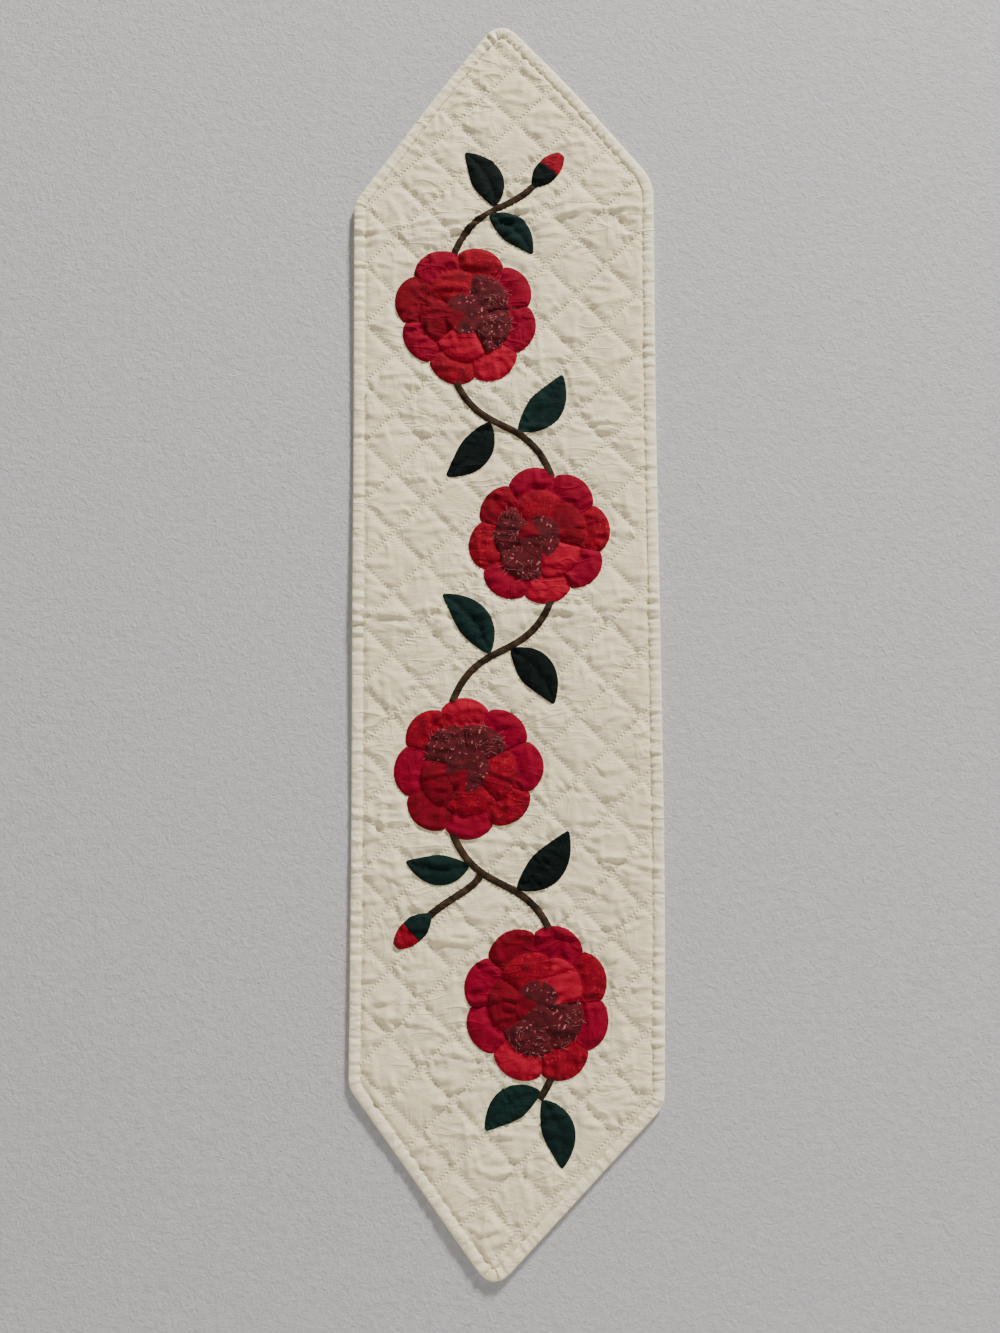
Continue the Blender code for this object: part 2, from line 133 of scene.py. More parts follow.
def stand_off(x, z):
    """Distance from the wall to the cloth's middle layer."""
    x = np.asarray(x, float)
    gap = np.full(np.broadcast(x, z).shape, MID_GAP)
    for left, right, rise, reach in FOLDS:
        crease = left + (right - left) * (x + SIDE) / (2 * SIDE)
        away = np.hypot(z - crease, FOLD_TIP) - FOLD_TIP
        gap = gap + rise * np.exp(-away / reach)
    uneven = 0.75 + 0.25 * np.sin(2 * np.pi * z / LIFT_WAVE + 0.8)
    span = SIDE - LIFT_START
    gap = gap + LEFT_LIFT * uneven * smooth((-x - LIFT_START) / span)
    gap = gap + RIGHT_LIFT * smooth((x - LIFT_START) / span)
    return gap + TIP_LIFT * smooth((z - TIP_START) / (TIP_END - TIP_START))


def corner_path(turn_points, side_points):
    """The closed edge of the cloth: sides joined by soft corners, its highest point at z = 0."""
    corners = np.array([corner[:2] for corner in OUTLINE])
    path = []
    for i, (_, _, turn) in enumerate(OUTLINE):
        before, corner, after = corners[i - 1], corners[i], corners[(i + 1) % len(corners)]
        start = corner + (before - corner) / np.linalg.norm(before - corner) * turn
        end = corner + (after - corner) / np.linalg.norm(after - corner) * turn
        for t in np.linspace(0, 1, turn_points):
            path.append(start * (1 - t) ** 2 + corner * 2 * t * (1 - t) + end * t * t)
        next_turn = OUTLINE[(i + 1) % len(corners)][2]
        next_start = after + (corner - after) / np.linalg.norm(corner - after) * next_turn
        path += [end + (next_start - end) * t for t in np.linspace(0, 1, side_points)[1:-1]]
    path = np.array(path)
    path = np.roll(path, -int(path[:, 1].argmax()), 0)
    path[:, 1] -= path[0, 1]
    return path


def signed_distance(points, loop):
    """Distance of each point to a closed loop, negative inside."""
    side = np.roll(loop, -1, 0) - loop
    square = np.maximum((side * side).sum(1), 1e-12)
    end = loop + side
    rise = np.where(side[:, 1] == 0, 1, side[:, 1])
    found = []
    for part in np.array_split(points, len(points) // 8000 + 1):
        from_start = part[:, None, :] - loop
        along = np.clip((from_start * side).sum(2) / square, 0, 1)
        near = np.linalg.norm(from_start - along[:, :, None] * side, axis=2).min(1)
        x, z = part[:, 0:1], part[:, 1:2]
        straddles = (loop[:, 1] > z) != (end[:, 1] > z)
        left_of = x < loop[:, 0] + side[:, 0] * (z - loop[:, 1]) / rise
        inside = (straddles & left_of).sum(1) % 2 == 1
        found.append(np.where(inside, -near, near))
    return np.concatenate(found)


def near_distance(points, loops, reach=25.0):
    """Signed distance to the nearest of several loops, or reach where none is near."""
    best = np.full(len(points), reach)
    for loop in loops:
        low, high = loop.min(0) - reach, loop.max(0) + reach
        near = ((points > low) & (points < high)).all(1)
        if near.any():
            best[near] = np.minimum(best[near], signed_distance(points[near], loop))
    return best


def unit(vectors):
    """Rows of vectors, each made one long."""
    return vectors / np.maximum(np.linalg.norm(vectors, axis=1), 1e-9)[:, None]


def ray(angle):
    """A step of one at an angle in radians."""
    return np.array((np.cos(angle), np.sin(angle)))


def evenly(path, step, closed):
    """Points at equal steps along a path, with the directions of the path there."""
    if closed:
        path = np.vstack((path, path[:1]))
    length = np.concatenate(((0,), np.linalg.norm(np.diff(path, axis=0), axis=1).cumsum()))
    count = max(2, int(round(length[-1] / step)) + (0 if closed else 1))
    at = np.linspace(0, length[-1], count, endpoint=not closed)
    points = np.column_stack([np.interp(at, length, path[:, k]) for k in (0, 1)])
    if closed:
        return points, unit(np.roll(points, -1, 0) - np.roll(points, 1, 0))
    return points, unit(np.gradient(points, axis=0))


def grow(loop, distance):
    """A closed loop moved outwards."""
    following = np.roll(loop, -1, 0)
    along = unit(following - np.roll(loop, 1, 0))
    area = (loop[:, 0] * following[:, 1] - following[:, 0] * loop[:, 1]).sum()
    return loop + np.column_stack((along[:, 1], -along[:, 0])) * distance * np.sign(area)


def rim_reach(rose, share, petals, angle):
    """Distance from a rose's middle to the rim of one of its petal rings."""
    _, _, size, turn = rose
    full = np.abs(np.sin(petals * (angle - np.radians(turn)) / 2)) ** 0.7
    uneven = 1 + 0.03 * np.cos(2 * angle + turn) + 0.02 * np.cos(3 * angle - turn)
    return size * share * (1 - NOTCH * (1 - full)) * uneven


def rose_loop(rose, share, petals, count=96):
    """Closed rim of a petal ring."""
    angle = np.linspace(0, 2 * np.pi, count, endpoint=False) + np.radians(rose[3])
    reach = rim_reach(rose, share, petals, angle)
    return np.column_stack((rose[0] + reach * np.cos(angle), rose[1] + reach * np.sin(angle)))


def vine_at(turn):
    """Points on the vine, which meanders from one rose to the next."""
    turn = np.asarray(turn, float)
    x = -VINE_SWING * np.cos(np.pi * turn)
    z = ROSES[0][1] - VINE_DROP * turn - VINE_SWAY * np.sin(2 * np.pi * turn)
    return np.stack((x, z), -1)


def sideways(path):
    """Directions to the right of a path's points, seen along it."""
    along = unit(np.gradient(path, axis=0))
    return np.column_stack((along[:, 1], -along[:, 0]))


def rim_of_strip(path, half_width):
    """Closed outline of a strip that follows a path."""
    side = sideways(path) * np.asarray(half_width)[:, None]
    return np.vstack((path + side, (path - side)[::-1]))


def vine_runs():
    """The vine's stretches that show between the roses."""
    path = vine_at(np.arange(VINE_START, VINE_END, 0.004))
    clear = near_distance(path, rose_rims) > -2.2
    for run in np.split(np.arange(len(path)), np.nonzero(np.diff(clear.astype(int)))[0] + 1):
        if clear[run[0]] and len(run) > 4:
            yield evenly(path[run], 1.5, False)[0]


def strips():
    """Each applique that follows a path: its name, path, half widths and cloth."""
    for i, path in enumerate(vine_runs(), 1):
        yield f"vine_{i}", path, np.full(len(path), VINE_WIDTH / 2), "stem"
    start, leave, arrive, end = np.array(STALK, float)
    t = np.linspace(0, 1, 36)[:, None]
    stalk = (1 - t) ** 3 * start + 3 * t * (1 - t) * ((1 - t) * leave + t * arrive) + t ** 3 * end
    yield "bud_stalk", stalk, np.full(len(stalk), VINE_WIDTH / 2), "stem"
    for i, (turn, side, heading, length, width) in enumerate(LEAVES, 1):
        spot = vine_at((turn - 0.01, turn, turn + 0.01))
        foot = spot[1] + sideways(spot)[1] * side * (VINE_WIDTH / 2 + LEAF_CLEAR)
        along = ray(np.radians(heading))
        t = np.linspace(0, 1, 44)
        bend = np.sin(np.pi * t) * LEAF_BEND * (-1) ** i * length
        path = foot + np.outer(t * length, along) + np.outer(bend, (-along[1], along[0]))
        half = (width / 2 - 0.8) * np.clip(np.sin(np.pi * t ** 0.9), 0, 1) ** 0.9 + 0.8
        yield f"leaf_{i:02d}", path, half, "leaf"
    for i, (x, z, heading) in enumerate(BUDS, 1):
        along = ray(np.radians(heading))
        t = np.linspace(CALYX_FOOT, CALYX_PART, 18)
        half = 2.2 + (BUD_WIDTH / 2 - 2.2) * np.sin(np.pi / 2 * np.clip(t / 0.42, 0, 1))
        yield f"bud_{i}_calyx", (x, z) + np.outer(t * BUD_LENGTH, along), half, "leaf"
        t = np.linspace(CALYX_PART - 0.04, 1, 16)
        narrowing = np.maximum(t - CALYX_PART, 0) / (1.06 - CALYX_PART)
        half = BUD_WIDTH / 2 * np.cos(np.pi / 2 * narrowing) ** 0.7
        yield f"bud_{i}_petals", (x, z) + np.outer(t * BUD_LENGTH, along), half, "bud"


# Where the quilting runs
edge_loop = corner_path(13, 2)
rose_rims = [rose_loop(rose, 1, OUTER_PETALS) for rose in ROSES]
strip_list = list(strips())
motifs = rose_rims + [rim_of_strip(path, half) for _, path, half, _ in strip_list]


def quilting_lines():
    """Stitches of the outline and inner quilting: points, directions and the cloth they are on."""
    lines = []
    for motif in motifs:
        lines.append((*evenly(grow(motif, DITCH), PITCH, True), "ground"))
    for rose in ROSES:
        inner = rose_loop(rose, INNER_RADIUS, INNER_PETALS)
        lines.append((*evenly(grow(inner, DITCH), PITCH, True), "petal"))
        for petals, outer, hole in ((OUTER_PETALS, 0.98, INNER_RADIUS), (INNER_PETALS, 0.64, 0.3)):
            for m in range(petals):
                angle = np.radians(rose[3]) + 2 * np.pi * m / petals
                reach = rim_reach(rose, outer, petals, angle)
                seam = rose[:2] + np.outer((reach, rose[2] * hole + 1.5), ray(angle))
                lines.append((*evenly(seam, PITCH, False), "petal"))
    for name, path, _, _ in strip_list:
        if name.startswith("leaf"):
            lines.append((*evenly(path[3:-3], PITCH, False), "leaf"))
    points = np.vstack([line[0] for line in lines])
    ways = np.vstack([line[1] for line in lines])
    kinds = np.concatenate([[line[2]] * len(line[0]) for line in lines])
    inset = -signed_distance(points, edge_loop)
    clear = near_distance(points, motifs)
    keep = (inset > BINDING_WIDTH + 0.8) & ((kinds != "ground") | (clear > 0.7 * DITCH))
    return points[keep], ways[keep], kinds[keep]


# The face of the quilt, as a net of threads that the stitches hold down
row_number, column_number = np.meshgrid(np.arange(FIRST_ROW, LAST_ROW),
                                        np.arange(FIRST_COLUMN, LAST_COLUMN), indexing="ij")
across_number = 2 * column_number + (row_number & 1)
net_x = ((FALLING_PHASE - RISING_PHASE) + across_number * SPACING) / np.sqrt(2)
net_z = -((FALLING_PHASE + RISING_PHASE) + row_number * SPACING) / np.sqrt(2)
flat_net = np.column_stack((net_x.ravel(), net_z.ravel()))
net_shape = net_x.shape
ROW_STEP = net_z[0, 0] - net_z[1, 0]
inset = -signed_distance(flat_net, edge_loop).reshape(net_shape)
motif_distance = near_distance(flat_net, motifs).reshape(net_shape)


def thread_numbers(x, z):
    """Places of points across the falling and the rising threads, in threads."""
    return (((x - z) / np.sqrt(2) - FALLING_PHASE) / SPACING,
            ((-x - z) / np.sqrt(2) - RISING_PHASE) / SPACING)


def knot_at(falling, rising):
    """Row and column of the knot where two threads cross."""
    row = falling + rising
    return row - FIRST_ROW, (falling - rising - (row & 1)) // 2 - FIRST_COLUMN


def on_net(values, x, z):
    """Values of the net at any points, from the four knots round each."""
    falling, rising = thread_numbers(x, z)
    i, j = np.floor(falling).astype(int), np.floor(rising).astype(int)
    u, v = falling - i, rising - j
    total = 0
    for di, dj, share in ((0, 0, (1 - u) * (1 - v)), (1, 0, u * (1 - v)),
                          (0, 1, (1 - u) * v), (1, 1, u * v)):
        row, column = knot_at(i + di, j + dj)
        row = np.clip(row, 0, net_shape[0] - 1)
        column = np.clip(column, 0, net_shape[1] - 1)
        total = total + share * values[row, column]
    return total


def spread(values):
    """The mean of each knot's four neighbours. The net's border keeps its values."""
    out = values.copy()
    even, odd = values[0::2], values[1::2]
    out[0::2][1:, 1:] = (odd[1:, 1:] + odd[1:, :-1] + odd[:-1, 1:] + odd[:-1, :-1]) / 4
    out[1::2][:-1, :-1] = (even[:-1, :-1] + even[:-1, 1:] + even[1:, :-1] + even[1:, 1:]) / 4
    return out


def soft_noise(scale, seed):
    """Noise over the net with hills about scale millimetres apart, from -1 to 1."""
    draw = np.random.default_rng(seed)
    total = np.zeros(net_shape)
    for _ in range(24):
        angle = draw.uniform(0, 2 * np.pi)
        wave = 2 * np.pi / (scale * draw.uniform(0.7, 1.6))
        total += np.sin(wave * (net_x * np.cos(angle) + net_z * np.sin(angle)) + draw.uniform(0, 6.3))
    return total / 24 ** 0.5


def blurred(points, weights, sigma, cell=1.5):
    """Gaussian blur of weighted points, read back on the net."""
    low = np.array((net_x.min() - 12, net_z.min() - 12))
    size = (np.array((net_x.max() + 12, net_z.max() + 12)) - low) / cell
    grid = np.zeros(size.astype(int) + 1)
    spot = ((points - low) / cell).round().astype(int)
    np.add.at(grid, (spot[:, 0], spot[:, 1]), weights)
    taps = np.arange(-int(3 * sigma / cell), int(3 * sigma / cell) + 1)
    kernel = np.exp(-(taps * cell / sigma) ** 2 / 2)
    kernel /= kernel.sum() * cell
    grid = np.apply_along_axis(np.convolve, 0, grid, kernel, "same")
    grid = np.apply_along_axis(np.convolve, 1, grid, kernel, "same")
    u = np.clip((flat_net - low) / cell, 0, np.array(grid.shape) - 2)
    k = u.astype(int)
    u -= k
    value = 0
    for dx, dz in ((0, 0), (1, 0), (0, 1), (1, 1)):
        share = np.abs(1 - dx - u[:, 0]) * np.abs(1 - dz - u[:, 1])
        value = value + share * grid[k[:, 0] + dx, k[:, 1] + dz]
    return value.reshape(net_shape)


def tie(p, q, rest, slack):
    """Moves two sets of tied knots towards their rest distance."""
    gap = q - p
    length = np.sqrt((gap * gap).sum(-1))
    pull = gap * (slack * (1 - rest / np.maximum(length, 1e-6)))[..., None]
    p += pull
    q -= pull


def ties(field):
    """The pairs of tied knots in a field over the net, one set at a time, each with its pull."""
    even, odd = field[0::2], field[1::2]
    sets = [(even, odd, 0.5), (even[:, 1:], odd[:, :-1], 0.5),
            (odd[:-1, :-1], even[1:, 1:], 0.5), (odd[:-1], even[1:], 0.5),
            (field[:, 0:-1:2], field[:, 1::2], FAR_PULL), (field[:, 1:-1:2], field[:, 2::2], FAR_PULL)]
    for first in range(4):
        low = field[first + 2::4]
        sets.append((field[first::4][:len(low)], low, FAR_PULL))
    return sets


def rest_lengths(p, q, spare_x, spare_z, spare_both, uneven):
    """Lengths of ties, with the spare cloth that makes them pucker."""
    gap = (q - p)[..., :2]
    length = np.linalg.norm(gap, axis=-1)
    way = gap / length[..., None]
    spare = spare_x * way[..., 0] ** 2 + spare_z * way[..., 1] ** 2
    spare = spare + 2 * spare_both * way[..., 0] * way[..., 1]
    return length * (1 + (GATHER * spare) * uneven + CRINKLE)


# Numbers of the two threads that cross at each knot, and where they are quilted
falling_number = (across_number + row_number) // 2
rising_number = (row_number - across_number) // 2
open_cloth = (inset > BINDING_WIDTH + 1.2) & (motif_distance > DITCH + 1.4)
falling_hatch = (falling_number % (2 * STITCHES_A_SIDE) == 0) & open_cloth
rising_hatch = (rising_number % (2 * STITCHES_A_SIDE) == 0) & open_cloth


def all_stitches():
    """Every stitch of the front: its middle, its direction and the cloth it is on."""
    spots, ways, kinds = quilting_lines()
    on_falling = falling_hatch & (rising_number % 2 == 0)
    on_rising = rising_hatch & (falling_number % 2 == 0) & ~on_falling
    for mask, way in ((on_falling, (-1, -1)), (on_rising, (1, -1))):
        points = flat_net[mask.ravel()]
        spots = np.vstack((spots, points))
        ways = np.vstack((ways, np.tile(np.array(way) / np.sqrt(2), (len(points), 1))))
        kinds = np.concatenate((kinds, ["ground"] * len(points)))
    return spots + rng.normal(0, WANDER, spots.shape), ways, kinds


def loft_and_gather(spots, ways):
    """Heights that the wadding gives the net, and its spare cloth along x, along z and across both."""
    seam_points, seam_ways = evenly(grow(edge_loop, -BINDING_WIDTH), SEAM_STEP, True)
    points = np.vstack((spots, seam_points))
    weight = np.concatenate((np.full(len(spots), PITCH), np.full(len(seam_points), SEAM_STEP)))
    height = np.zeros(net_shape)
    for sigma, share in ((2.3, 0.6), (6.0, 0.4)):
        peak = 1 / (np.sqrt(2 * np.pi) * sigma)
        height += share * np.clip(1 - blurred(points, weight, sigma) / peak, 0, 1)
    height *= PUFF * (1 + 0.22 * soft_noise(45, 3) + 0.11 * soft_noise(14, 4))
    x, z = np.vstack((ways, seam_ways)).T
    gather = []
    for product in (x ** 2, z ** 2, x * z):
        near = blurred(points, weight * product, GATHER_REACH) * np.sqrt(2 * np.pi) * GATHER_REACH
        gather.append(np.clip(near, -1.5, 1.5))
    gather[0] += 0.40 * np.clip(soft_noise(26, 13), 0, 1.5)
    gather[1] += 0.50 * np.clip(soft_noise(26, 14), 0, 1.5)
    return np.maximum(height, 0), gather


def relaxed_net(spots, ways):
    """The quilted net: stitches hold knots down, wadding lifts the rest and spare cloth puckers."""
    height, gather = loft_and_gather(spots, ways)
    uneven = np.clip(1.1 + 0.35 * soft_noise(60, 5) + 0.35 * soft_noise(22, 6), 0.5, 2.0)
    uneven *= 0.35 + 0.65 * smooth((inset - BINDING_WIDTH) / 16)

    held = inset < 1.0
    knots = np.dstack((net_x, net_z, height + 0.2 * soft_noise(5, 7) + 0.12 * soft_noise(3.2, 8)))
    row, column = knot_at(*[np.round(number).astype(int) for number in thread_numbers(*spots.T)])
    knots[row, column, :2] = spots
    held[row, column] = True
    knots[held, 2] = 0
    for _ in range(6):
        moved = spread(knots[..., :2])
        knots[~held, :2] += 0.5 * (moved - knots[..., :2])[~held]
    knots[held & (inset > BINDING_WIDTH), 2] = -PIT
    anchor = knots[held]

    firm = 0.065 * np.clip(1 + 0.6 * soft_noise(34, 10), 0.4, 2.0)
    between = (falling_hatch & (rising_number % 2 != 0)) | (rising_hatch & (falling_number % 2 != 0))
    height[between] = BEAD + 0.3 * soft_noise(9, 11)[between]
    firm[between] = 0.3
    band = smooth((BINDING_WIDTH + 2 - inset) / 3)
    height = height * (1 - band) + 0.35 * band
    firm = firm + 0.16 * band
    at_seam = np.abs(inset - BINDING_WIDTH) < 0.9
    height[at_seam] = 0.0
    firm[at_seam] = 0.45

    rests = []
    for (p, q, _), *pairs in zip(ties(knots), *[ties(field) for field in (*gather, uneven)]):
        rests.append(rest_lengths(p, q, *[(one + other) / 2 for one, other, _ in pairs]))
    for _ in range(ROUNDS):
        rise = knots[..., 2]
        rise += firm * (height - rise)
        bend = spread(rise) - rise
        rise -= 0.22 * (spread(bend) - bend)
        for (p, q, slack), rest in zip(ties(knots), rests):
            tie(p, q, rest, slack * 0.9)
        np.maximum(rise, 0, out=rise)
        knots[held] = anchor
    knots[..., 2] += 0.5 * (spread(knots[..., 2]) - knots[..., 2]) * ~held
    flat = np.dstack((net_x, net_z))
    shift = np.clip(knots[..., :2] - flat, -SIDE_SHIFT, SIDE_SHIFT)
    knots[..., :2] = flat + 0.5 * (shift + spread(shift))
    return knots


stitch_spots, stitch_ways, stitch_kinds = all_stitches()
knots = relaxed_net(stitch_spots, stitch_ways)

# Narrow ridges that the old folds left, one or more along each: z at the left and right, height,
# half width, and where along the fold it fades in and out
RIDGES = (
    (-196, -160.5, 2.0, 2.2, -140, 30), (-202.5, -169, 2.2, 2.3, -100, 140),
    (-209, -173, 1.4, 2.0, -140, -20), (-190, -156, 1.2, 2.0, 20, 140),
    (-380.5, -368, 1.9, 2.4, -140, 140), (-388, -373, 1.1, 2.2, -60, 110),
    (-539.5, -536, 2.2, 2.8, -140, 140), (-546, -541, 1.1, 2.2, -140, -10),
    (-532, -529, 1.0, 2.2, 30, 140), (-713, -760, 1.8, 2.6, -140, 140),
    (-720, -766, 1.0, 2.2, 0, 140),
)


def ridge_height(x, z):
    """Height of the fold ridges at points of the face."""
    total = np.zeros(np.broadcast(x, z).shape)
    for number, (left, right, rise, width, start, end) in enumerate(RIDGES):
        line = left + (right - left) * (x + SIDE) / (2 * SIDE)
        line = line + 1.6 * np.sin(x / 13.0 + number * 2.1) + 0.8 * np.sin(x / 5.7 + number)
        strength = 0.72 + 0.28 * np.sin(x / 11.0 + number * 1.7) * np.sin(x / 29.0 + number)
        strength = strength * smooth((x - start) / 14 + 0.5) * smooth((end - x) / 14 + 0.5)
        away = (z - line) / width
        total = total + rise * strength * (np.exp(-away ** 2) - 0.35 * np.exp(-(away + 2.0) ** 2))
    return total


def short_folds(seed):
    """Height over the net of the short folds that use has left, most of them level."""
    draw = np.random.default_rng(seed)
    total = np.zeros(net_shape)
    for _ in range(SHORT_FOLDS):
        x, z = draw.uniform(-140, 142), draw.uniform(-1108, 4)
        upright = draw.random() < 0.36
        angle = draw.normal(np.pi / 2 if upright else 0, 0.22)
        length, width, rise = draw.uniform(5, 15), draw.uniform(1.9, 3.2), draw.uniform(0.7, 1.65)
        add_fold(total, x, z, angle, length, width, rise)
    return total


def add_fold(total, x, z, angle, length, width, rise):
    """Adds a short fold to a height over the net: a ridge with a trough on its lower side."""
    reach = 2 * length + 4
    rows = ((net_z[0, 0] - z + np.array((-reach, reach))) / ROW_STEP).astype(int)
    rows = slice(*np.clip(rows, 0, None))
    from_x, from_z = knots[rows, :, 0] - x, knots[rows, :, 1] - z
    along = from_x * np.cos(angle) + from_z * np.sin(angle)
    across = from_z * np.cos(angle) - from_x * np.sin(angle) + 0.04 * along * along / length
    hill = np.exp(-(across / width) ** 2) - 0.45 * np.exp(-(across / width + 1.7) ** 2)
    total[rows] += rise * hill * np.exp(-(along / length) ** 2)


def binding_puckers(seed):
    """Height over the net of the small folds that run in from the binding."""
    draw = np.random.default_rng(seed)
    points, along = evenly(edge_loop, 1.0, True)
    total = np.zeros(net_shape)
    at = 0.0
    while at < len(points):
        (x, z), (dx, dz) = points[int(at)], along[int(at)]
        depth = draw.uniform(2, 13)
        angle = np.arctan2(-dx, dz) + draw.normal(0, 0.12)
        length, width, rise = draw.uniform(5, 12), draw.uniform(1.5, 2.3), draw.uniform(0.3, 1.15)
        add_fold(total, x + dz * depth, z - dx * depth, angle, length, width, rise)
        at += draw.uniform(3.0, 8.0)
    return total


loose = np.clip((knots[..., 2] + PIT) / 1.4, 0.25, 1)
folds = loose * short_folds(17) + (0.35 + 0.65 * loose) * binding_puckers(19)
folds = np.where(folds > 0, MOST_RISE * np.tanh(folds / MOST_RISE),
                 MOST_TROUGH * np.tanh(folds / MOST_TROUGH))
folds = folds * (1 + LOWER_FOLDS * smooth((-600 - net_z) / 250))
relief = knots[..., 2] + folds + ridge_height(knots[..., 0], knots[..., 1])
relief = relief - 0.9 * np.exp(-((inset - BINDING_WIDTH - 0.7) / 1.1) ** 2)
relief = np.maximum(relief, LOWEST_RELIEF)


def face(x, z, lift):
    """The point that is lift in front of the quilt's face."""
    x, z = np.asarray(x, float), np.asarray(z, float)
    y = -stand_off(x, z) - CLOTH_HALF - on_net(relief, x, z) - lift
    return np.stack((x, y, z), -1)


# Making meshes
def new_piece(name, points, faces, paints, which=None):
    """A piece in metres from points in millimetres, with smooth faces."""
    mesh = bpy.data.meshes.new(name)
    mesh.from_pydata((np.asarray(points) * MM).tolist(), [], [tuple(corners) for corners in faces])
    for paint in paints:
        mesh.materials.append(paint.material)
    if which is not None:
        mesh.polygons.foreach_set("material_index", np.asarray(which, dtype=np.int32))
    mesh.shade_smooth()
    mesh.validate()
    piece = bpy.data.objects.new(name, mesh)
    bpy.context.scene.collection.objects.link(piece)
    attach(piece, "root")
    return piece


def sheet_faces(rows, columns, offset=0, closed=False):
    """Faces of a patch of rows by columns of points, joined round if it is closed."""
    here = np.arange(rows * columns).reshape(rows, columns) + offset
    after = np.roll(here, -1, 0)
    if not closed:
        here, after = here[:-1], after[:-1]
    return np.stack((here[:, :-1], here[:, 1:], after[:, 1:], after[:, :-1]), -1).reshape(-1, 4)


def turned_edge(distance, roll=0.75):
    """0 at a turned edge, 1 beyond its roll, round in between."""
    t = np.clip(distance / roll, 0, 1)
    return np.sqrt(1 - (1 - t) ** 2)


# Materials
class Wire:
    """A socket of a material, for use in Python arithmetic."""

    def __init__(self, paint, socket):
        self.paint = paint
        self.socket = socket

    def __add__(self, other):
        return self.paint.maths("ADD", self, other)

    def __sub__(self, other):
        return self.paint.maths("SUBTRACT", self, other)

    def __rsub__(self, other):
        return self.paint.maths("SUBTRACT", other, self)

    def __mul__(self, other):
        return self.paint.maths("MULTIPLY", self, other)

    __radd__ = __add__
    __rmul__ = __mul__


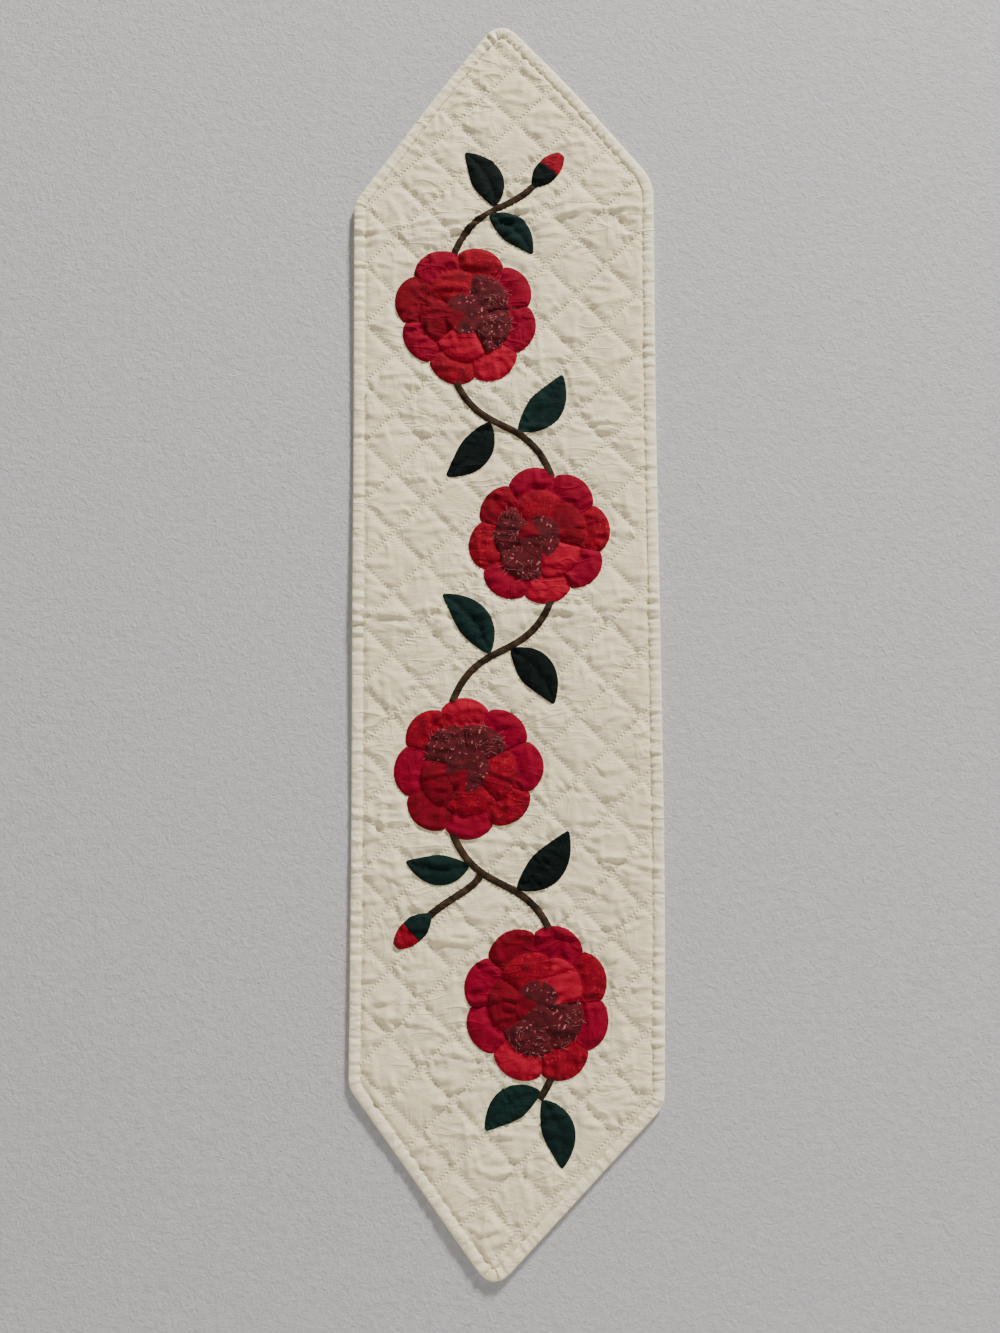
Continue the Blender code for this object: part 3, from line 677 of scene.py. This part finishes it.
class Paint:
    """A material and its nodes."""

    def __init__(self, name, roughness):
        self.material = bpy.data.materials.new(name)
        self.material.use_nodes = True
        self.tree = self.material.node_tree
        self.shader = self.tree.nodes["Principled BSDF"]
        self.shader.inputs["Roughness"].default_value = roughness
        self.shader.inputs["Specular IOR Level"].default_value = 0.1

    def node(self, kind, settings=None, values=None, out=0):
        """Adds a node: its settings first, then the values or links of its sockets."""
        made = self.tree.nodes.new(kind)
        for key, value in (settings or {}).items():
            setattr(made, key, value)
        for key, value in (values or {}).items():
            if isinstance(value, Wire):
                self.tree.links.new(value.socket, made.inputs[key])
            else:
                made.inputs[key].default_value = value
        return Wire(self, made.outputs[out])

    def maths(self, operation, *values):
        """The result of a Math node."""
        return self.node("ShaderNodeMath", {"operation": operation}, dict(enumerate(values)))

    def steps(self, value, low, high, first=0.0, last=1.0, kind="LINEAR"):
        """A value mapped from the range low to high onto first to last, and held there outside it."""
        return self.node("ShaderNodeMapRange", {"interpolation_type": kind},
                         {0: value, 1: low, 2: high, 3: first, 4: last})

    def feed(self, socket, wire):
        """Links a wire to a socket of the shader."""
        self.tree.links.new(wire.socket, self.shader.inputs[socket])

    def place(self, scale=(1, 1, 1), turn=(0, 0, 0)):
        """Object coordinates, scaled and turned."""
        spot = self.node("ShaderNodeTexCoord", out="Object")
        return self.node("ShaderNodeMapping", {}, {"Vector": spot, "Scale": scale, "Rotation": turn})

    def noise(self, scale, detail=2.0, place=None, distortion=0.0):
        """Noise from 0 to 1; scale is in hills a metre."""
        return self.node("ShaderNodeTexNoise", {}, {"Vector": place or self.place(), "Scale": scale,
                                                    "Detail": detail, "Distortion": distortion})

    def mix(self, share, first, second):
        """Mixes two colours, each a wire or red, green and blue."""
        first, second = (colour if isinstance(colour, Wire) else (*colour, 1)
                         for colour in (first, second))
        return self.node("ShaderNodeMix", {"data_type": "RGBA"}, {0: share, 6: first, 7: second}, 2)

    def weave(self, pitch, turn=0.0):
        """Height of a plain weave, from 0 to 1, with threads pitch metres apart."""
        place = self.place(turn=(0, turn, 0))
        values = {"Vector": place, "Scale": 0.314 / pitch, "Distortion": 0.6, "Detail": 1.0,
                  "Detail Scale": 0.2}
        warp, weft = (self.node("ShaderNodeTexWave", {"bands_direction": way}, values, out=1)
                      for way in ("X", "Z"))
        return (warp + weft) * 0.5

    def beads(self):
        """Height of the stitch lines, from about 0 in a pit to 1 on a bead, 0.5 away from them."""
        spot = self.node("ShaderNodeTexCoord", out="Object")
        shake = self.noise(260, 1.0) - 0.5
        x, z = (self.node("ShaderNodeSeparateXYZ", {}, {0: spot}, axis) for axis in (0, 2))
        falling = (x - z) * (1 / MM / np.sqrt(2)) - FALLING_PHASE
        rising = (x + z) * (-1 / MM / np.sqrt(2)) - RISING_PHASE
        height = from_crossing = 0.0
        for across, along in ((falling, rising), (rising, falling)):
            away = self.maths("PINGPONG", across + shake * 0.8, QUILT_PITCH / 2)
            wave = self.maths("COSINE", (along + shake * 1.2) * (np.pi / SPACING))
            near = self.maths("EXPONENT", away * away * -0.6)
            beside = self.maths("EXPONENT", (away - 2.3) * (away - 2.3) * -1.1)
            height = height - (wave * near * 0.36 - wave * beside * 0.13) * (shake + 1) - near * 0.12
            from_crossing = away * away + from_crossing
        return height * (1 - self.maths("EXPONENT", from_crossing * -0.22) * 0.75) + 0.5

    def creases(self):
        """Height of sharp little folds, most of them level, from 0 to 1."""
        height = 0.0
        for scale, stretch, share in ((62, (0.5, 1, 1.4), 0.6), (55, (1.5, 1, 0.5), 0.4)):
            cloud = self.noise(scale, 1.2, self.place(stretch), 0.4)
            off_line = self.maths("ABSOLUTE", cloud - 0.5)
            ridge = self.steps(off_line, 0.0, 0.085, 1.0, 0.0, "SMOOTHSTEP")
            patch = self.steps(self.noise(scale / 3, 1.0, self.place((1.1, 1, 0.9))), 0.42, 0.60)
            height = ridge * patch * share + height
        return height

    def bump(self, height, distance, strength=1.0, normal=None):
        """Bumps the surface by a height, whose full range is distance metres."""
        values = {"Height": height, "Distance": distance, "Strength": strength}
        if normal:
            values["Normal"] = normal
        return self.node("ShaderNodeBump", {}, values)


def cotton(name, light, dark, mottle, turn=0.0, sheen=0.0, pitch=0.0004, quilted=False, fleck=None,
           flecks=None):
    """Plain woven cotton: mottled between two tones, with a weave, fine crinkles and paler flecks;
    quilted cloth also gets painted shade in its stitch pits.
    """
    paint = Paint(name, 0.88)
    cloud = paint.noise(mottle, 4.0)
    fine = paint.noise(2600, 2.0)
    colour = paint.mix(paint.steps(cloud * 0.8 + fine * 0.2, 0.33, 0.67), dark, light)
    height = paint.noise(150, 3.0, paint.place((1, 1, 2.2)), 0.8) * 0.6 + paint.creases() * 0.78
    if quilted:
        beads = paint.beads()
        height = height + beads
        # painted shade: quilted cloth is darkened towards half its dark tone in the stitch pits, where
        # the beads are low
        colour = paint.mix(paint.steps(beads, 0.42, 0.1, 0.0, 0.22), colour, [0.5 * c for c in dark])
    if fleck:
        scale, least = flecks
        spots = paint.noise(scale, 1.0, paint.place((1, 1, 1), (0, turn, 0)))
        colour = paint.mix(paint.steps(spots, least, least + 0.05), colour, fleck)
    paint.feed("Base Color", colour)
    paint.feed("Normal", paint.bump(paint.weave(pitch, turn), 0.00005, 0.6, paint.bump(height, MM)))
    paint.shader.inputs["Sheen Weight"].default_value = sheen
    paint.shader.inputs["Sheen Roughness"].default_value = 0.5
    return paint


cream = cotton("cream_cotton", (0.735, 0.645, 0.43), (0.66, 0.575, 0.375), 16, 0, 0.05, 0.00042, True)
backing_cloth = cotton("backing_cotton", (0.70, 0.62, 0.44), (0.63, 0.55, 0.385), 14, 0, 0.05,
                       0.00045, True)
# the binding cloth is paler than the cream of the face: partly its own tone, partly painted light for
# the light that its rolled edge catches
binding_cloth = cotton("binding_cotton", (0.79, 0.71, 0.50), (0.71, 0.63, 0.435), 40, 0, 0.05)
stem_cloth = cotton("stem_cotton", (0.044, 0.025, 0.013), (0.008, 0.005, 0.004), 120, np.pi / 4)
leaf_cloth = cotton("leaf_cotton", (0.0036, 0.0155, 0.0130), (0.0016, 0.0070, 0.0064), 60, 0.5)
dark_leaf_cloth = cotton("dark_leaf_cotton", (0.0018, 0.0052, 0.0042), (0.0009, 0.0028, 0.0025), 60, 0.9)
crimson = cotton("crimson_cotton", (0.190, 0.0010, 0.0150), (0.140, 0.0007, 0.010), 60, 0.3)
scarlet = cotton("scarlet_cotton", (0.200, 0.0013, 0.0090), (0.100, 0.0008, 0.0065), 120, 0.7, 0.02,
                 fleck=(0.27, 0.003, 0.012), flecks=(420, 0.62))
deep_red = cotton("deep_red_cotton", (0.150, 0.0010, 0.0080), (0.085, 0.0008, 0.0055), 90, 1.2)
maroon = cotton("maroon_cotton", (0.085, 0.0065, 0.010), (0.034, 0.0035, 0.006), 150, 0.2, 0.02,
                fleck=(0.30, 0.085, 0.09), flecks=(330, 0.665))
bright = cotton("bright_cotton", (0.27, 0.0045, 0.018), (0.200, 0.0025, 0.012), 110, 0.9)
REDS = (crimson, scarlet, deep_red, maroon, bright)


def thread(name, dark, light, roughness=0.6, mottle=900):
    """Thread, mottled between two shades."""
    paint = Paint(name, roughness)
    paint.feed("Base Color", paint.mix(paint.noise(mottle), dark, light))
    return paint


cream_thread = thread("cream_thread", (0.58, 0.53, 0.43), (0.70, 0.66, 0.56))
red_thread = thread("red_thread", (0.16, 0.004, 0.010), (0.26, 0.008, 0.02))
green_thread = thread("green_thread", (0.008, 0.02, 0.017), (0.016, 0.034, 0.028))
frayed_thread = thread("frayed_thread", (0.10, 0.012, 0.016), (0.48, 0.22, 0.21), 0.7, 160)


# The two quilted cloths
def net_sheet(name, y, paint):
    """The knots of the net as one sheet, cut off SHEET_INSET inside the cloth's edge."""
    used = (inset > SHEET_INSET).ravel()
    index = np.arange(net_x.size).reshape(net_shape)
    faces = []
    for parity, ends in ((0, slice(1, None)), (1, slice(None, -1))):
        top, below, last = (index[parity + k:net_shape[0] - 2 + k:2] for k in range(3))
        quads = np.stack((top[:, ends], below[:, :-1], last[:, ends], below[:, 1:]), -1).reshape(-1, 4)
        faces.append(quads[used[quads].all(1)])
    faces = np.vstack(faces)
    keep = np.unique(faces)
    renumber = np.zeros(net_x.size, int)
    renumber[keep] = np.arange(len(keep))
    points = np.column_stack([values.ravel()[keep] for values in (knots[..., 0], y, knots[..., 1])])
    return new_piece(name, points, renumber[faces], [paint])


under_motif = smooth((-motif_distance - 0.6) / 1.5)
front_relief = np.maximum(relief - 1.1 * under_motif, LOWEST_FRONT)
back_relief = np.maximum(0.42 * np.maximum(knots[..., 2], 0) + 0.12 * soft_noise(7, 12), LOWEST_BACK)
knot_gap = stand_off(knots[..., 0], knots[..., 1])
quilt_top = net_sheet("quilt_top", -knot_gap - CLOTH_HALF - front_relief, cream)
quilt_back = net_sheet("quilt_backing", -knot_gap + CLOTH_HALF + back_relief, backing_cloth)
quilt_back.data.flip_normals()
for piece in (quilt_top, quilt_back):
    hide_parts("quilted_ground")


# The binding
BINDING_PROFILE = (
    # distance in from the edge, height in front of the cloth's middle, share of the relief
    (BINDING_WIDTH - 0.9, 0.55, 0.6), (BINDING_WIDTH - 0.1, 0.62, 0.6),
    (BINDING_WIDTH + 0.15, 0.95, 0.7), (BINDING_WIDTH - 0.15, 1.4, 0.8),
    (BINDING_WIDTH - 0.9, 1.68, 0.9), (BINDING_WIDTH - 2.4, 1.84, 1.0),
    (5.2, 1.88, 1.0), (3.2, 1.78, 0.9), (1.7, 1.52, 0.8), (0.7, 1.12, 0.6), (0.15, 0.62, 0.3),
    (0.0, 0.0, 0.0), (0.15, -0.62, 0.3), (0.7, -1.15, 0.4), (1.9, -1.45, 0.5), (4.5, -1.52, 0.5),
    (7.4, -1.48, 0.5), (BINDING_WIDTH - 0.3, -1.30, 0.4), (BINDING_WIDTH + 0.1, -1.0, 0.3),
    (BINDING_WIDTH - 0.8, -0.75, 0.3),
)
BINDING_STEP = 1.5
RIPPLE = 0.11


def edge_binding():
    """The folded strip round the edge; ripples of the cloth cross it."""
    points, along = evenly(corner_path(25, 40), BINDING_STEP, True)
    inward = np.column_stack((along[:, 1], -along[:, 0]))
    count = len(points)
    taps = np.exp(-(np.arange(-6, 7) / 3.0) ** 2)
    inward = sum(w * np.roll(inward, k, 0) for w, k in zip(taps, range(-6, 7)))
    inward = unit(inward)
    distance = np.arange(count) * BINDING_STEP
    ripple = np.zeros(count)
    draw = np.random.default_rng(9)
    for _ in range(30):
        wave = draw.uniform(4.5, 13)
        ripple += np.sin(2 * np.pi * distance / wave + draw.uniform(0, 6.3)) * draw.uniform(0.4, 1)
    ripple *= RIPPLE * (1 + 0.5 * np.sin(distance / 47.0) + 0.3 * np.sin(distance / 19.0 + 1))
    way_round = count * BINDING_STEP
    from_lap = (distance - 6 + way_round / 2) % way_round - way_round / 2
    lap = 0.55 * np.exp(-from_lap ** 2 / 12)
    rows = []
    for depth, height, share in BINDING_PROFILE:
        spot = points + inward * depth
        near = points + inward * np.clip(depth, 2.5, BINDING_WIDTH - 0.5)
        wave = on_net(relief, near[:, 0], near[:, 1]) - 0.35
        side = np.sign(height)
        lift = height + side * share * (0.9 * wave + ripple) * (1 if side > 0 else 0.5)
        lift = lift + (lap * share if side > 0 else 0)
        spot = spot + inward * (0.16 * ripple / RIPPLE * (depth > BINDING_WIDTH - 1))[:, None]
        y = -stand_off(spot[:, 0], spot[:, 1]) - lift
        rows.append(np.column_stack((spot[:, 0], y, spot[:, 1])))
    faces = sheet_faces(count, len(BINDING_PROFILE), closed=True)
    return new_piece("binding", np.stack(rows, 1).reshape(-1, 3), faces, [binding_cloth])


binding = edge_binding()
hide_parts("edge_binding")


# The roses
EDGE_STEPS = np.array((0, 0.08, 0.25, 0.5, 0.9, 1.6, 2.6))
FIRST_STEP = 3.8           # where the even steps start, after EDGE_STEPS
HEM = 3.2                  # width of a turned hem, and of a petal's lap over the one before it


def patchwork(name, patches, paints):
    """One piece made of patches: grids of points, each with the number of its cloth."""
    points, faces, which = [], [], []
    count = 0
    for grid, cloth in patches:
        rows, columns = grid.shape[:2]
        faces.append(sheet_faces(rows, columns, count))
        points.append(grid.reshape(-1, 3))
        which += [cloth] * len(faces[-1])
        count += rows * columns
    return new_piece(name, np.vstack(points), np.vstack(faces), paints, which)


def petals(rose, share, count, hole, base, seed, cloths):
    """A ring of petals, each with a turned edge and lapped over the one before it."""
    x, z, size, turn = rose
    draw = np.random.default_rng(seed)
    size_here = size * share
    span = 2 * np.pi / count
    lap = HEM / size_here
    side = np.concatenate((EDGE_STEPS / size_here,
                           np.linspace(FIRST_STEP / size_here, span + lap, int(size_here * span / 1.5))))
    past = side > span
    deep = size * (share - hole)
    down = np.concatenate((EDGE_STEPS, np.linspace(FIRST_STEP, deep, int(deep / 1.5))))
    for m in range(count):
        angle = np.radians(turn) + span * m + side
        reach = rim_reach(rose, share, count, angle)
        seam_reach = rim_reach(rose, share, count, np.radians(turn) + span * (m + 1))
        reach = np.where(past, np.minimum(reach, seam_reach) - 0.9, reach)
        reach = np.where(past, reach - (side - span) * size_here * 0.25, reach)
        bow = draw.uniform(-0.05, 0.05)
        grid = []
        for d in down:
            r = reach * (1 - d / reach.mean()) if d > 3 else reach - d
            way = angle + bow * np.sin(np.pi * d / deep)
            from_side = side * np.maximum(r, 6)
            edge = turned_edge(np.minimum(d, from_side))
            inner_fade = smooth((deep - d) / 9)
            over = 0.42 * (1 - smooth(from_side / 9.0)) * inner_fade
            hem = 0.14 * (1 - smooth((np.minimum(d, from_side) - HEM) / 2.2))
            tuck = 0.26 * smooth((side - span * 0.96) / lap)
            crown = np.sin(np.pi * np.clip(side / span, 0, 1)) ** 0.8
            crown = 0.35 * crown * smooth(d / 6) * inner_fade
            lift = (base + over + hem + crown - tuck) * edge - 0.15 * (1 - edge)
            grid.append(face(x + r * np.cos(way), z + r * np.sin(way), lift))
        yield np.stack(grid), cloths[m]


def heart(rose):
    """The rose's heart: five pieced wedges under one turned edge."""
    x, z, size, turn = rose
    radius = size * HEART_RADIUS
    down = np.concatenate((EDGE_STEPS, np.linspace(FIRST_STEP, radius - 0.02, 11)))
    for m, cloth in enumerate(HEART_CLOTHS):
        angle = np.radians(turn * 2) + 2 * np.pi * (m + np.linspace(0, 1, 12)) / len(HEART_CLOTHS)
        from_seam = np.minimum(angle - angle[0], angle[-1] - angle)
        grid = []
        for d in down:
            r = (radius - d) * (1 + 0.03 * np.sin(3 * angle + turn))
            crease = 0.16 * np.exp(-(from_seam * max(r.mean(), 1)) ** 2) * smooth(d / 3)
            edge = turned_edge(d)
            lift = (1.45 + 0.5 * smooth(d / radius * 1.3) - crease) * edge + 0.5 * (1 - edge)
            grid.append(face(x + r * np.cos(angle), z + r * np.sin(angle), lift))
        yield np.stack(grid), cloth


# Which of REDS, and in a heart which of HEART_REDS, each patch of each rose is cut from
OUTER_CLOTHS = ((0, 1, 0, 2, 0, 1, 4, 0), (1, 0, 0, 2, 1, 0, 4, 0), (0, 4, 1, 0, 2, 0, 1, 0),
                (1, 0, 2, 0, 0, 4, 1, 0))
INNER_CLOTHS = ((3, 1, 2, 4, 3), (2, 1, 3, 3, 4), (3, 3, 2, 1, 1), (4, 1, 2, 3, 3))
HEART_CLOTHS = (0, 0, 1, 0, 0)
HEART_REDS = (maroon, deep_red)
cut_pieces = []
for number, (rose, outer, inner) in enumerate(zip(ROSES, OUTER_CLOTHS, INNER_CLOTHS), 1):
    outer = petals(rose, 1, OUTER_PETALS, 0.55, 0.42, 20 + number, outer)
    inner = petals(rose, INNER_RADIUS, INNER_PETALS, 0.2, 0.95, 40 + number, inner)
    for patches, part, node, slot, paints in (
            (outer, "petals", "outer_petals", "crimson_cotton", REDS),
            (inner, "inner", "inner_petals", "scarlet_cotton", REDS),
            (heart(rose), "middle", "heart", "maroon_cotton", HEART_REDS)):
        piece = patchwork(f"rose_{number}_{part}", patches, paints)
        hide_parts(f"rose_{number}_{node}")
        cut_pieces.append(piece)


# Worn edges of the dark patches
FRAYS = 24                 # threads on each maroon petal


def frayed_threads(seed):
    """Short loose threads along the edges of the maroon petals."""
    draw = np.random.default_rng(seed)
    points, quads = [], []
    for rose, cloths in zip(ROSES, INNER_CLOTHS):
        span = 2 * np.pi / INNER_PETALS
        for m, cloth in enumerate(cloths):
            if REDS[cloth] is not maroon:
                continue
            for _ in range(FRAYS):
                angle = np.radians(rose[3]) + span * (m + draw.uniform(0.05, 0.95))
                rim = rim_reach(rose, INNER_RADIUS, INNER_PETALS, angle)
                reach = rim - 1 if draw.random() < 0.3 else draw.uniform(0.45, 0.95) * rim
                way = angle + draw.normal(0, 1.3)
                length, bow = draw.uniform(3, 7), draw.normal(0, 0.25)
                t = np.linspace(0, 1, 5)
                x = rose[0] + reach * np.cos(angle) + length * t * np.cos(way + bow * t)
                z = rose[1] + reach * np.sin(angle) + length * t * np.sin(way + bow * t)
                line = face(x, z, 1.75 + 0.5 * np.sin(np.pi * t))
                first = len(points)
                for spot in line:
                    for turn in (0, 2.1, 4.2):
                        across = np.array((-np.sin(way), 0, np.cos(way))) * np.cos(turn)
                        points.append(spot + 0.13 * (across + np.array((0, np.sin(turn), 0))))
                for k in range(len(t) - 1):
                    for side in range(3):
                        a, b = first + 3 * k + side, first + 3 * k + (side + 1) % 3
                        quads.append((a, b, b + 3, a + 3))
    return new_piece("frayed_threads", points, quads, [frayed_thread])


loose_threads = frayed_threads(83)


# Leaves, stems and buds
ACROSS = np.array((0, 0.012, 0.035, 0.075, 0.14, 0.24, 0.38, 0.55, 0.72, 0.87, 1.0))
STRIP_PAINTS = {"stem": stem_cloth, "leaf": leaf_cloth, "bud": scarlet}
DARK_LEAVES = ("leaf_01", "leaf_04", "leaf_06", "leaf_07", "bud_1_calyx")


def strip_piece(name, path, half, cloth):
    """A leaf, stem or bud: a strip with turned edges and a soft crown."""
    side = sideways(path)
    run = np.concatenate(((0,), np.linalg.norm(np.diff(path, axis=0), axis=1).cumsum()))
    share = np.concatenate((1 - ACROSS, (ACROSS - 1)[::-1][1:]))
    grid = []
    for spot, way, w, here in zip(path, side, half, run):
        from_end = min(here, run[-1] - here)
        flat = spot + np.outer(share * w, way)
        from_edge = np.minimum((1 - np.abs(share)) * w, from_end + (0.3 if cloth == "stem" else 0))
        edge = turned_edge(from_edge, 0.7)
        if cloth == "stem":
            crown = 0.55 * np.sqrt(np.maximum(1 - share ** 2, 0))
        else:
            crown = 0.40 * (1 - share ** 2) * smooth(w / 6)
        if name.startswith("leaf"):
            rib = 0.22 * np.exp(-(share * w / 0.9) ** 2) * smooth(from_end / 6)
        else:
            rib = 0
        base = 0.62 if cloth == "leaf" else 0.30
        lift = (base + crown - rib) * edge - 0.15 * (1 - edge)
        grid.append(face(flat[:, 0], flat[:, 1], lift))
    grid = np.stack(grid)
    paint = dark_leaf_cloth if name in DARK_LEAVES else STRIP_PAINTS[cloth]
    faces = sheet_faces(*grid.shape[:2])
    return new_piece("sewn_" + name, grid.reshape(-1, 3), faces[:, ::-1], [paint])


for name, path, half, cloth in strip_list:
    piece = strip_piece(name, path, half, cloth)
    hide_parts(name)
    cut_pieces.append(piece)


# The stitches, laid on what is under them
HALF_STITCH = 0.78
THREAD_WIDE, THREAD_DEEP = 0.19, 0.15
# Along a stitch in half stitches, and how deep in the cloth the thread is there
STITCH_CURVE = ((-1.15, 0.30), (-0.45, -0.02), (0.45, -0.02), (1.15, 0.30))


def stitches(name, spots, ways, paint, under, behind=False):
    """Short threads at the spots, each lying on the cloth and sinking in at its ends."""
    corners, faces = [], []
    for piece in under:
        offset = len(corners)
        corners += [tuple(v.co) for v in piece.data.vertices]
        faces += [tuple(offset + k for k in polygon.vertices) for polygon in piece.data.polygons]
    tree = BVHTree.FromPolygons(corners, faces)
    way = -1 if behind else 1
    start_y, look = (0.05, Vector((0, -1, 0))) if behind else (-0.05, Vector((0, 1, 0)))
    draw = np.random.default_rng(71)
    points, quads = [], []
    around = 2 * np.pi * np.arange(5) / 5
    for (x, z), (dx, dz) in zip(spots, ways):
        half = HALF_STITCH * draw.uniform(0.85, 1.15)
        centres = []
        for t, sink in STITCH_CURVE:
            px, pz = x + dx * half * t, z + dz * half * t
            hit = tree.ray_cast(Vector((px * MM, start_y, pz * MM)), look)[0]
            if hit is None:
                break
            centres.append(np.array((px, hit.y / MM + way * sink, pz)))
        if len(centres) < 4:
            continue
        first = len(points)
        across = np.array((-dz, 0, dx))
        points.append(centres[0])
        for centre in centres[1:3]:
            for a in around:
                points.append(centre + across * THREAD_WIDE * np.cos(a)
                              + np.array((0, 1, 0)) * THREAD_DEEP * np.sin(a))
        points.append(centres[3])
        for k in range(5):
            m = (k + 1) % 5
            quads.append((first, first + 1 + k, first + 1 + m))
            quads.append((first + 1 + k, first + 6 + k, first + 6 + m, first + 1 + m))
            quads.append((first + 6 + k, first + 11, first + 6 + m))
    return new_piece(name, points, quads, [paint])


def chosen(kind):
    """The stitches on one kind of cloth."""
    mask = stitch_kinds == kind
    return stitch_spots[mask], stitch_ways[mask]


ground_stitches = stitches("ground_stitches", *chosen("ground"), cream_thread, [quilt_top])
petal_stitches = stitches("petal_stitches", *chosen("petal"), red_thread, cut_pieces)
leaf_stitches = stitches("leaf_stitches", *chosen("leaf"), green_thread, cut_pieces)
# On the back the thread shows half a stitch further on
back_stitches = stitches("back_stitches", stitch_spots + stitch_ways * SPACING, stitch_ways,
                         cream_thread, [quilt_back], True)


# The room: a wall seen from the front only, a floor, lights and the camera
def stage_plane(name, corners, colour, one_sided):
    """A plane of the room."""
    mesh = bpy.data.meshes.new(name)
    mesh.from_pydata(corners, [], [(0, 1, 2, 3)])
    paint = Paint(name, 0.9)
    tufts = paint.noise(170, 5.0, distortion=0.8)
    dark, light = ([share * c for c in colour] for share in (0.93, 1.07))
    paint.feed("Base Color", paint.mix(paint.steps(tufts, 0.3, 0.7), dark, light))
    paint.feed("Normal", paint.bump(tufts * 0.6 + paint.noise(520, 4.0) * 0.4, 0.0016))
    if one_sided:
        behind = paint.node("ShaderNodeNewGeometry", out="Backfacing")
        clear = paint.node("ShaderNodeBsdfTransparent")
        shown = paint.node("ShaderNodeMixShader", {},
                           {0: behind, 1: Wire(paint, paint.shader.outputs[0]), 2: clear})
        output = paint.tree.nodes["Material Output"]
        paint.tree.links.new(shown.socket, output.inputs["Surface"])
    mesh.materials.append(paint.material)
    plane = bpy.data.objects.new(name, mesh)
    bpy.context.scene.collection.objects.link(plane)
    return plane


WALL, FLOOR, CEILING, REACH = 0.0006, -1.25, 1.5, 3    # in metres
wall = stage_plane("wall", [(-REACH, WALL, FLOOR), (REACH, WALL, FLOOR), (REACH, WALL, CEILING),
                            (-REACH, WALL, CEILING)], (0.395, 0.388, 0.402), True)
wall.visible_shadow = False
stage_plane("floor", [(-REACH, -REACH, FLOOR), (REACH, -REACH, FLOOR), (REACH, REACH, FLOOR),
                      (-REACH, REACH, FLOOR)], (0.5, 0.495, 0.49), False)


def area_light(name, place, target, size, power, colour):
    """A soft square light that looks at a point."""
    lamp = bpy.data.lights.new(name, "AREA")
    lamp.size = size
    lamp.energy = power
    lamp.color = colour
    light = bpy.data.objects.new(name, lamp)
    light.location = place
    light.rotation_euler = (Vector(target) - Vector(place)).to_track_quat("-Z", "Y").to_euler()
    bpy.context.scene.collection.objects.link(light)


MIDDLE = (0, 0, -0.55)     # of the hanging, in metres
area_light("key", (1.65, -2.05, 3.5), MIDDLE, 0.7, 590, (1, 0.98, 0.93))
area_light("fill", (-0.8, -2.4, -0.3), MIDDLE, 2.2, 4, (1, 0.985, 0.96))
area_light("back", (1.2, 2.2, 1.0), MIDDLE, 1.0, 85, (1, 1, 1))
world = bpy.data.worlds.new("room")
bpy.context.scene.world = world
world.use_nodes = True
world.node_tree.nodes["Background"].inputs["Color"].default_value = (1, 0.985, 0.965, 1)
world.node_tree.nodes["Background"].inputs["Strength"].default_value = 0.12

camera = bpy.data.objects.new("camera", bpy.data.cameras.new("camera"))
camera.data.lens = 31.06
camera.data.sensor_width = 36
camera.data.clip_start = 0.02
camera.location = (-0.00183, -1.0, -0.678)
camera.rotation_euler = (np.radians(95.2), 0, 0)
bpy.context.scene.collection.objects.link(camera)
bpy.context.scene.camera = camera
